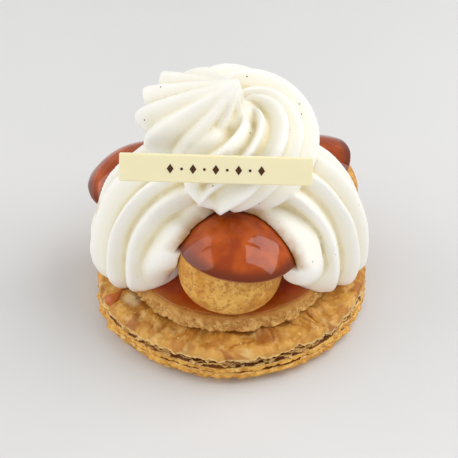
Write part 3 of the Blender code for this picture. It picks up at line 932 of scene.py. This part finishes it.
def dome_rings(extra, around, steps, uneven=0.0):
    """The caramel lens from its crown to its flat underside, and how far out each point lies."""
    ball = DOME_BALL + extra
    spread = math.asin(DOME_RIM_RADIUS / DOME_BALL)
    angles = ring_angles(around)
    ripple = uneven * round_noise(angles, 1.0, 3.0, 61.0)
    rows, rims = [], []
    for step in range(steps + 1):
        turn = max(spread * step / steps, 0.004)
        share = math.sin(turn) / math.sin(spread)
        radius = ball * math.sin(turn) * (1 + share**6 * ripple)
        rows.append(turned(radius, ball * math.cos(turn) - (DOME_BALL - DOME_HEIGHT), angles))
        rims.append(share)
    edge = (DOME_RIM_RADIUS + extra) * (1 + ripple)
    for inset, drop in DOME_EDGE_ROWS:
        rows.append(turned(edge - inset, -drop * DOME_EDGE - extra * (drop > 0.5), angles))
        rims.append(1.0 + drop / 10)
    rows.append(turned(0.3, -DOME_EDGE - extra, angles))
    rims.append(1.1)
    return np.array(rows), np.repeat(rims, around)


def caramel_dome(name, placing, look):
    rings, rims = dome_rings(0.0, *DOME_MESH, uneven=0.012)
    made = skinned(name, moved(rings, dome_frame(placing)), look, "caramel")
    set_values(made, rim=np.append(rims, [0, 1.1]))
    return made


# ---- piped cream

CREAM_VOXEL = 0.62
RIDGES = 11
RIDGE_ROUNDNESS = 0.85
SAMPLES_PER_RIDGE = 12
# A lobe between two puffs: (distance out, height, radius, drift aside).
LOBE = (
    (28.4, 12.9, 4.0, 0.4), (28.5, 13.6, 9.4, 0.6), (28.6, 15.4, 13.0, 0.6),
    (28.7, 19.0, 15.1, 0.4), (28.7, 26.0, 15.6, 0.1), (27.4, 34.5, 15.4, 0.0),
    (24.8, 41.0, 15.2, 0.0), (20.3, 47.0, 14.8, -0.2), (14.0, 51.0, 13.8, -0.8),
    (6.0, 53.5, 12.3, -2.0),
)
# The rosette's ring: (azimuth, distance from its axis, height, radius). Twist is how much the rope
# rolls for each degree round.
RING_AXIS = (0.0, -1.0)
RING_TWIST = 0.87
RING_ROLL = -5.1
RING = (
    (-133, 12.5, 49.3, 3.2), (-124, 12.5, 52.8, 9.2), (-109, 12.5, 56.7, 13.6),
    (-80, 12.5, 59.5, 15.0), (-40, 12.4, 61.5, 15.0), (0, 12.3, 62.5, 15.0),
    (45, 12.2, 63.0, 15.0), (90, 12.2, 63.5, 15.0), (130, 12.0, 63.5, 14.5),
    (165, 12.0, 62.0, 13.0), (190, 12.0, 58.0, 9.0),
)
# The last dollop: (x, y, z, radius, roll, and the way that its cross-section faces).
PEAK = (
    (-12.0, -0.5, 61.0, 10.0, 0.0, -0.03, -0.45, 1.0),
    (-11.8, -0.3, 65.4, 14.7, 0.0, -0.03, -0.50, 1.0),
    (-12.1, 0.0, 69.3, 17.3, 0.0, 0.0, -0.54, 1.0),
    (-11.6, -0.2, 71.8, 16.4, 0.0, 0.0, -0.50, 1.0),
    (-9.0, -0.9, 74.4, 13.4, 0.0, 0.1, -0.42, 1.0),
    (-4.9, -1.7, 77.7, 9.5, 0.0, 0.2, -0.3, 1.0),
    (-0.9, -2.5, 81.2, 5.0, 0.0, 0.3, -0.15, 1.0),
    (2.3, -3.0, 85.0, 0.2, 0.0, 0.4, -0.1, 1.0),
)
# Where each rope's grooves run, in degrees round it.
PEAK_GROOVES = (15, 52, 113, 140, 170, 202, 247, 285, 318, 345)
RING_GROOVES = (22, 62, 100, 140, 180, 215, 262, 315, 357)
LEFT_GROOVES = (5, 38, 71, 104, 137, 165, 188, 228, 254, 290, 318)
RIGHT_GROOVES = (0, 33, 66, 99, 132, 165, 192, 214, 256, 295, 327)
# Where a rope's grooves fade: (angle, half width, share of the way along from which the groove
# starts to show and is whole, how much of it fades).
LEFT_FADES = ((290, 30, 2.0, 3.0, 0.5), (290, 34, 0.22, 0.50, 1.0), (318, 34, 0.35, 0.70, 1.0))
RIGHT_FADES = ((256, 44, 0.28, 0.62, 1.0), (214, 30, 2.0, 3.0, 0.8))
# Cream that lies over the front dome's edge and comes down on both sides of its puff: a rope of
# (x, y, z, radius) on either side. Over the dome it is given by where its edge shows in the
# photograph: (pixel column, pixel row, radius), round a pixel in the dome's middle.
LEFT_CHEEK = (
    (-22.8, -13.8, 16.6, 1.6), (-22.9, -14.2, 18.4, 3.8), (-23.2, -15.2, 21.6, 4.9),
    (-22.8, -17.2, 26.4, 5.2), (-19.4, -20.8, 33.2, 5.6),
)
OVER_DOME = (
    (190, 233, 7.4), (199, 225, 7.0), (209, 218, 5.2), (222, 211, 4.0), (235, 211.5, 4.0),
    (248, 214.5, 5.2), (260.6, 221, 7.0), (272, 230, 8.0), (281, 238, 8.0), (288, 246, 7.5),
    (293, 252, 7.0),
)
DOME_SEEN_AT = (236, 258)
RIGHT_CHEEK = (
    (22.2, -20.4, 28.0, 6.4), (22.0, -16.8, 24.6, 5.9), (21.3, -14.2, 21.2, 5.2),
    (20.9, -13.8, 18.6, 4.0), (20.6, -13.6, 16.8, 1.8),
)
# Cream that fills the middle of the ring, and the hollow beside the tongue where the ring starts.
PLUG = (
    (2.5, -3.0, 60.0, 3.0), (2.5, -3.0, 64.0, 6.2), (2.5, -3.0, 69.0, 7.2), (2.5, -3.0, 73.0, 6.2),
    (2.5, -3.0, 76.2, 2.4),
)
FLAP = (
    (-13.0, -18.9, 60.2, 1.6), (-9.8, -20.9, 57.6, 2.8), (-7.0, -21.6, 54.8, 2.6),
    (-4.4, -22.0, 52.6, 1.4),
)
# The cream's hidden middle: heights and the radius at each.
CORE_HEIGHTS = np.array([16.0, 45.0, 70.5])
CORE_RADII = np.array([17.0, 13.0, 9.0])
# The disc's outline that the cream is cut by: how far past the disc's radius, over its top.
DISC_CUTTER_REACH = np.array([0.6, 0.6, -0.4, -2.0, -4.6])
DISC_CUTTER_RISE = np.array([-7.0, -3.8, -2.4, -1.0, 0.2])


def blend_stations(stations, steps):
    """A smooth run of rows through the stations, by Catmull-Rom on every value."""
    stations = np.array(stations, float)
    last = len(stations) - 1
    place = np.linspace(0, last, steps + 1)
    leg = np.minimum(place.astype(int), last - 1)
    t = (place - leg)[:, None]
    a, b, c, d = (stations[np.clip(leg + k, 0, last)] for k in (-1, 0, 1, 2))
    square, cube = 2 * a - 5 * b + 4 * c - d, 3 * b - a - 3 * c + d
    return 0.5 * (2 * b + (c - a) * t + square * t**2 + cube * t**3)


def even_grooves(count):
    return [360.0 * k / count for k in range(count)]


def star_outline(grooves, lean=1.0, sharp=0.15, low=()):
    """Angles round a star nozzle's outline, and how near each is to a ridge's crest (0 to 1).

    A lean other than 1 pushes every crest to one side, so that the ridges lie over one another
    like scales; sharp is the share of a plain tent in the crest's shape; low lists ridges that
    reach only half as far.
    """
    turns, crests = [], []
    ends = list(grooves[1:]) + [grooves[0] + 360.0]
    for index, (start, end) in enumerate(zip(grooves, ends)):
        reach = 0.45 if index in low else 1.0
        for k in range(SAMPLES_PER_RIDGE):
            share = k / SAMPLES_PER_RIDGE
            turns.append(math.radians(start + (end - start) * share))
            place = share**lean
            tent = 1 - abs(2 * place - 1)
            round_top = abs(math.sin(math.pi * place)) ** RIDGE_ROUNDNESS
            crests.append(reach * ((1 - sharp) * round_top + sharp * tent))
    return np.array(turns), np.array(crests)


def faded(turns, crests, fades, share):
    """The crests with their grooves filled where the fades say so, at one place along a rope."""
    for angle, half_width, hidden, whole, strength in fades:
        off = angle_off(np.degrees(turns), angle)
        amount = (1 - step_up(off, 0.3 * half_width, half_width)) * (1 - step_up(share, hidden, whole))
        crests = crests + (1 - crests) * amount * strength
    return crests


def piped_rope(seed, stations, steps, outline, across, depth, fades=()):
    """A rope of cream from a star nozzle. Stations are (x, y, z, radius), and may go on with a roll
    in degrees and the way that the cross-section faces."""
    rows = blend_stations(stations, steps)
    middles = rows[:, :3]
    facing = unit_rows(rows[:, 5:8] if rows.shape[1] > 5 else np.gradient(middles, axis=0))
    turns, crests = outline
    across = np.array(across, float)
    rings = []
    for index, row in enumerate(rows):
        along = facing[index]
        across = across - along * (across @ along)
        across = across / np.linalg.norm(across)
        side = np.cross(along, across)
        uneven = 1 + 0.04 * round_noise(turns, seed + 8.0 * index / steps, 1.0, 0.0)
        uneven = uneven + 0.006 * round_noise(turns, 2.5 * index / steps, 9.0, 7.0)
        shape = 1 - depth * (1 - faded(turns, crests, fades, index / steps))
        reach = max(row[3], 0.15) * shape * uneven
        roll = math.radians(row[4]) if len(row) > 4 else 0.0
        spokes = np.cos(turns + roll)[:, None] * across + np.sin(turns + roll)[:, None] * side
        rings.append(middles[index] + spokes * reach[:, None])
    return skinned("stroke", rings)


def ring_stations():
    rows = []
    for angle, out, up, radius in RING:
        turn = math.radians(angle)
        x = RING_AXIS[0] + math.cos(turn) * out
        y = RING_AXIS[1] + math.sin(turn) * out
        rows.append((x, y, up, radius, RING_ROLL - RING_TWIST * angle))
    return rows


def collar_stations():
    """The rope whose edge meets the front dome where OVER_DOME says, and its two cheeks."""
    middle = next(dome_balls())[0] / MM
    seen_column, seen_row = DOME_SEEN_AT
    rows = list(LEFT_CHEEK)
    for column, row, radius in OVER_DOME:
        eye, way = sight(column, row)
        to_eye = eye - middle
        near = to_eye.dot(way)
        chord = max(near**2 - to_eye.dot(to_eye) + DOME_BALL**2, 0.0)
        edge = eye - way * (near + math.sqrt(chord))
        normal = (edge - middle).normalized()
        away = Vector((1, 0, 0)) * (column - seen_column) - CAMERA_UP * (row - seen_row)
        away = (away - normal * away.dot(normal)).normalized()
        rows.append((*(edge - normal * 0.30 * radius + away * 0.95 * radius), radius))
    return rows + list(RIGHT_CHEEK)


def cream_strokes():
    across, upward = (1, 0, 0), (0, 0, 1)
    left = [(-out, -5.0 - drift, up, radius) for out, up, radius, drift in LOBE]
    right = [(out - 0.4, -5.0 - drift, up, radius) for out, up, radius, drift in LOBE]
    back = [(0.8 + drift, out, up, radius) for out, up, radius, drift in LOBE]
    ring_star = star_outline(RING_GROOVES, 2.2, 0.25, (1,))
    left_star = star_outline(LEFT_GROOVES, 0.5, 0.3)
    right_star = star_outline(RIGHT_GROOVES, 2.0, 0.3)
    back_star = star_outline(even_grooves(RIDGES), 0.5, 0.35)
    plain = star_outline(even_grooves(4))
    core = turned(CORE_RADII[:, None], CORE_HEIGHTS[:, None], ring_angles(48))
    core[..., 1] += RING_AXIS[1]
    return [
        piped_rope(4, ring_stations(), 150, ring_star, upward, 0.30),
        piped_rope(4, PEAK, 60, star_outline(PEAK_GROOVES, 0.6, 0.6), across, 0.28),
        piped_rope(9, left, 80, left_star, across, 0.27, LEFT_FADES),
        piped_rope(10, right, 80, right_star, across, 0.27, RIGHT_FADES),
        piped_rope(9, back, 80, back_star, across, 0.28),
        piped_rope(6, collar_stations(), 120, plain, across, 0.04),
        piped_rope(4, PLUG, 40, plain, across, 0.04),
        piped_rope(4, FLAP, 40, plain, upward, 0.04),
        skinned("core", core),
    ]


def cream_keeps_clear_of():
    """Slightly grown copies of what the cream leans on."""
    reach = DISC_RADIUS + DISC_CUTTER_REACH[:, None]
    rise = DISC_TOP + DISC_CUTTER_RISE[:, None]
    shapes = [turned(reach, rise, ring_angles(96))]
    for placing in PUFFS.values():
        shapes.append(moved(puff_points(0.05, *PUFF_CUTTER), puff_frame(*placing[:4])))
        shapes.append(moved(dome_rings(0.08, *DOME_CUTTER)[0], dome_frame(placing)))
    made = [skinned("clear", rings) for rings in shapes]
    return made + [bar_block("clear_bar", 0.05)]


def drop_loose_bits(thing, fewest=400):
    """Drops what a cut left apart from the main body."""
    with edited(thing.data) as bm:
        left = set(bm.verts)
        while left:
            piece = {left.pop()}
            rim = list(piece)
            while rim:
                for link in rim.pop().link_edges:
                    for other in set(link.verts) - piece:
                        piece.add(other)
                        rim.append(other)
            left -= piece
            if len(piece) < fewest:
                bmesh.ops.delete(bm, geom=list(piece), context="VERTS")


def hollowness(thing, passes):
    """How far every vertex lies under its smoothed surroundings, evened out a little: grooves are
    positive and crests negative."""
    mesh = thing.data
    count = len(mesh.vertices)
    start, normal = np.empty(count * 3), np.empty(count * 3)
    mesh.vertices.foreach_get("co", start)
    mesh.vertices.foreach_get("normal", normal)
    start, normal = start.reshape(-1, 3) / MM, normal.reshape(-1, 3)
    ends = np.empty(len(mesh.edges) * 2, np.int64)
    mesh.edges.foreach_get("vertices", ends)
    first = np.concatenate([ends[0::2], ends[1::2]])
    second = np.concatenate([ends[1::2], ends[0::2]])
    links = np.maximum(np.bincount(first, minlength=count), 1)

    def evened(columns, times):
        for _ in range(times):
            around = [np.bincount(first, column[second], count) / links for column in columns.T]
            columns = 0.4 * columns + 0.6 * np.stack(around, 1)
        return columns

    under = ((evened(start, passes) - start) * normal).sum(1)
    return evened(under[:, None], 6)[:, 0]


def whipped_cream(look):
    """All the strokes run together, cut clear of what they lean on and softened."""
    cream, *others = cream_strokes()
    for stroke in others:
        boolean(cream, stroke, "UNION")
    clear = cream_keeps_clear_of()
    for cutter in clear:
        boolean(cream, cutter, "DIFFERENCE")
    remove(others + clear)
    remesh = cream.modifiers.new("remesh", "REMESH")
    remesh.mode = "VOXEL"
    remesh.voxel_size = CREAM_VOXEL * MM
    remesh.use_smooth_shade = True
    soften = cream.modifiers.new("soften", "SMOOTH")
    soften.factor = 0.5
    soften.iterations = 3
    apply_modifiers(cream)
    drop_loose_bits(cream)
    cream.name = "piped_cream"
    cream.data.materials.clear()
    cream.data.materials.append(look)
    cream.data.shade_smooth()
    # The crease and hollow numbers carry the painted shade in grooves and creases and the painted
    # highlight on crests.
    set_values(cream, crease=hollowness(cream, 6), hollow=hollowness(cream, 45))
    return cream


# ---- chocolate bar

ORNAMENT_PITCH = 3.3
ORNAMENTS_EACH_WAY = 4
# A lozenge and a dot: (half width, half height, corners).
LOZENGE = (1.0, 1.45, 4)
DOT = (0.42, 0.42, 16)


def bar_frame():
    return (
        Matrix.Translation(BAR_CENTRE)
        @ Matrix.Rotation(math.radians(-BAR_LEAN), 4, "X")
        @ Matrix.Rotation(math.radians(BAR_ROLL), 4, "Y")
    )


def bar_block(name, extra, look=None, slot=None):
    bm = bmesh.new()
    size = (BAR_LENGTH + 2 * extra, BAR_THICKNESS + 2 * extra, BAR_WIDTH + 2 * extra)
    bmesh.ops.create_cube(bm, size=1.0, matrix=Matrix.Diagonal((*size, 1.0)))
    points, faces = parts_of(bm)
    return object_from(name, moved(points, bar_frame()), faces, look, slot)


def chocolate_bar(look):
    """The bar: a moulded slip with softened, slightly uneven edges."""
    bar = bar_block("white_chocolate_bar", 0.0, look, "white_chocolate")
    soften = bar.modifiers.new("edges", "BEVEL")
    soften.width = 0.4 * MM
    soften.segments = 4
    apply_modifiers(bar)
    with edited(bar.data) as bm:
        long_edges = [e for e in bm.edges if e.calc_length() > 3 * MM]
        bmesh.ops.subdivide_edges(bm, edges=long_edges, cuts=40, use_grid_fill=True)
        for vertex in bm.verts:
            vertex.co += vertex.normal * noise.noise(vertex.co / MM / 4.0) * 0.05 * MM
    bar.data.shade_smooth()
    bar.data.set_sharp_from_angle(angle=math.radians(40))
    return bar


def print_on_bar(x, half_width, half_height, corners):
    """A flat print on the bar's front, as a very thin plate."""
    face = -BAR_THICKNESS / 2
    turns = ring_angles(corners)
    rings = []
    for y, share in ((face + 0.05, 1.0), (face - 0.06, 1.0), (face - 0.085, 0.85)):
        across, up = x + np.cos(turns) * half_width * share, np.sin(turns) * half_height * share
        rings.append(np.stack([across, np.full(corners, y), up], -1))
    points, faces = skin(np.array(rings))
    return moved(points, bar_frame()), faces


def bar_ornament(look):
    """A plain row of lozenges and dots along the middle of the bar."""
    places = range(-ORNAMENTS_EACH_WAY, ORNAMENTS_EACH_WAY + 1)
    parts = [print_on_bar(k * ORNAMENT_PITCH, *(DOT if k % 2 else LOZENGE)) for k in places]
    return joined("bar_ornament", parts, look, "white_chocolate", crease=30)


# ---- vanilla specks

# The specks that show in the photograph: (pixel column, pixel row).
SEEN_SPECKS = (
    (247, 76.5), (160.6, 87), (144.5, 120), (299.4, 104), (301.4, 114), (250, 133), (213, 186),
    (259, 203.5),
)
SEEN_SPECK_SIZE = 0.24
FINE_SPECKS = 60
FINE_SPECK_SIZES = (0.09, 0.17)


def vanilla_specks(cream, look):
    tree = surface_of(cream)
    parts = []
    for index, pixel in enumerate(SEEN_SPECKS):
        point, normal = seen_at(tree, *pixel)
        if point:
            parts.append(pebble(point, normal, SEEN_SPECK_SIZE, index))
    rng = random.Random(9)
    vertices = cream.data.vertices
    for index in range(FINE_SPECKS):
        vertex = vertices[rng.randrange(len(vertices))]
        size = rng.uniform(*FINE_SPECK_SIZES)
        parts.append(pebble(vertex.co / MM, vertex.normal.copy(), size, 20 + index))
    return joined("vanilla_specks", parts, look, "whipped_cream")


# ---- the cake and its studio

# name: (place in metres, width, height, power)
LIGHTS = {
    "key": ((0.36, 0.04, 0.46), 0.52, 0.52, 2.35),
    "fill": ((-0.52, 0.05, 0.36), 0.7, 0.6, 2.0),
    "front": ((-0.12, -0.95, 0.20), 0.9, 0.45, 2.3),
}
LIGHTS_AIM_AT = Vector((0, 0, 0.035))
SKY = (1.0, 0.99, 0.975, 1.0)
SKY_STRENGTH = 0.45
FLOOR_HALF_SIZE = 1.5
NEAR_AND_FAR = (0.01, 10.0)


def build_cake():
    choux, crumb, pastry = choux_look(), crumb_look(), pastry_look()
    caramel, thin_caramel = caramel_look(), thin_caramel_look()
    ornament = dark_look("ornament_look", 0.45, (0.055, 0.018, 0.006), (0.085, 0.028, 0.010))
    speck = dark_look("speck_look", 0.6, (0.02, 0.012, 0.008), (0.05, 0.03, 0.02))

    def shown(piece, *nodes):
        """Rides the piece on the body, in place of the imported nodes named."""
        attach(piece, "root")
        if nodes:
            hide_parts(*nodes)
        return piece

    on_base = surface_of(shown(pastry_base(pastry), "puff_pastry_base"))
    shown(pastry_flakes(pastry))
    shown(pastry_crumbs(on_base, pastry))
    shown(caramel_drip(on_base, thin_caramel))
    shown(choux_disc(crumb), "choux_disc")
    shown(caramel_pool(thin_caramel))
    for seed, (name, placing) in enumerate(PUFFS.items()):
        shown(choux_puff("choux_" + name, placing, 2.0 + seed, choux), "puff_" + name)
        shown(caramel_dome("dome_" + name, placing, caramel), "caramel_" + name)
    cream = shown(whipped_cream(cream_look()), "whipped_cream")
    shown(chocolate_bar(chocolate_look()), "chocolate_bar")
    shown(bar_ornament(ornament))
    shown(vanilla_specks(cream, speck))


def look_along(thing, place, backward):
    """Puts a light or camera at a place in metres, with its back turned that way."""
    thing.location = place
    thing.rotation_mode = "QUATERNION"
    thing.rotation_quaternion = backward


def camera():
    data = bpy.data.cameras.new("camera")
    data.sensor_width = SENSOR
    data.lens = SENSOR * PIXELS_PER_MM * CAMERA_DISTANCE / IMAGE
    data.clip_start, data.clip_end = NEAR_AND_FAR
    made = linked("camera", data)
    place = (CAMERA_TARGET + CAMERA_BACK * CAMERA_DISTANCE) * MM
    look_along(made, place, (-CAMERA_BACK).to_track_quat("-Z", "Y"))
    SCENE.camera = made


def studio():
    world = bpy.data.worlds.new("studio")
    world.use_nodes = True
    background = world.node_tree.nodes["Background"]
    background.inputs["Color"].default_value = SKY
    background.inputs["Strength"].default_value = SKY_STRENGTH
    SCENE.world = world
    SCENE.view_settings.view_transform = "Standard"
    for name, (place, width, height, power) in LIGHTS.items():
        data = bpy.data.lights.new(name, "AREA")
        data.shape = "RECTANGLE"
        data.size, data.size_y = width, height
        data.energy = power
        look_along(linked(name, data), place, (Vector(place) - LIGHTS_AIM_AT).to_track_quat("Z", "Y"))
    bm = bmesh.new()
    bmesh.ops.create_grid(bm, x_segments=1, y_segments=1, size=FLOOR_HALF_SIZE)
    mesh = bpy.data.meshes.new("floor")
    bm.to_mesh(mesh)
    bm.free()
    look = plain_look(Look("floor_look", 0.5), (60.0, 4.0), (0.70, 0.70, 0.705), (0.73, 0.73, 0.73))
    mesh.materials.append(look)
    linked("floor", mesh)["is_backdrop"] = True


build_cake()
camera()
studio()
boxes = {"cad": cad_box, "visual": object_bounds()}
{key: [list(corner) for corner in box] for key, box in boxes.items()}
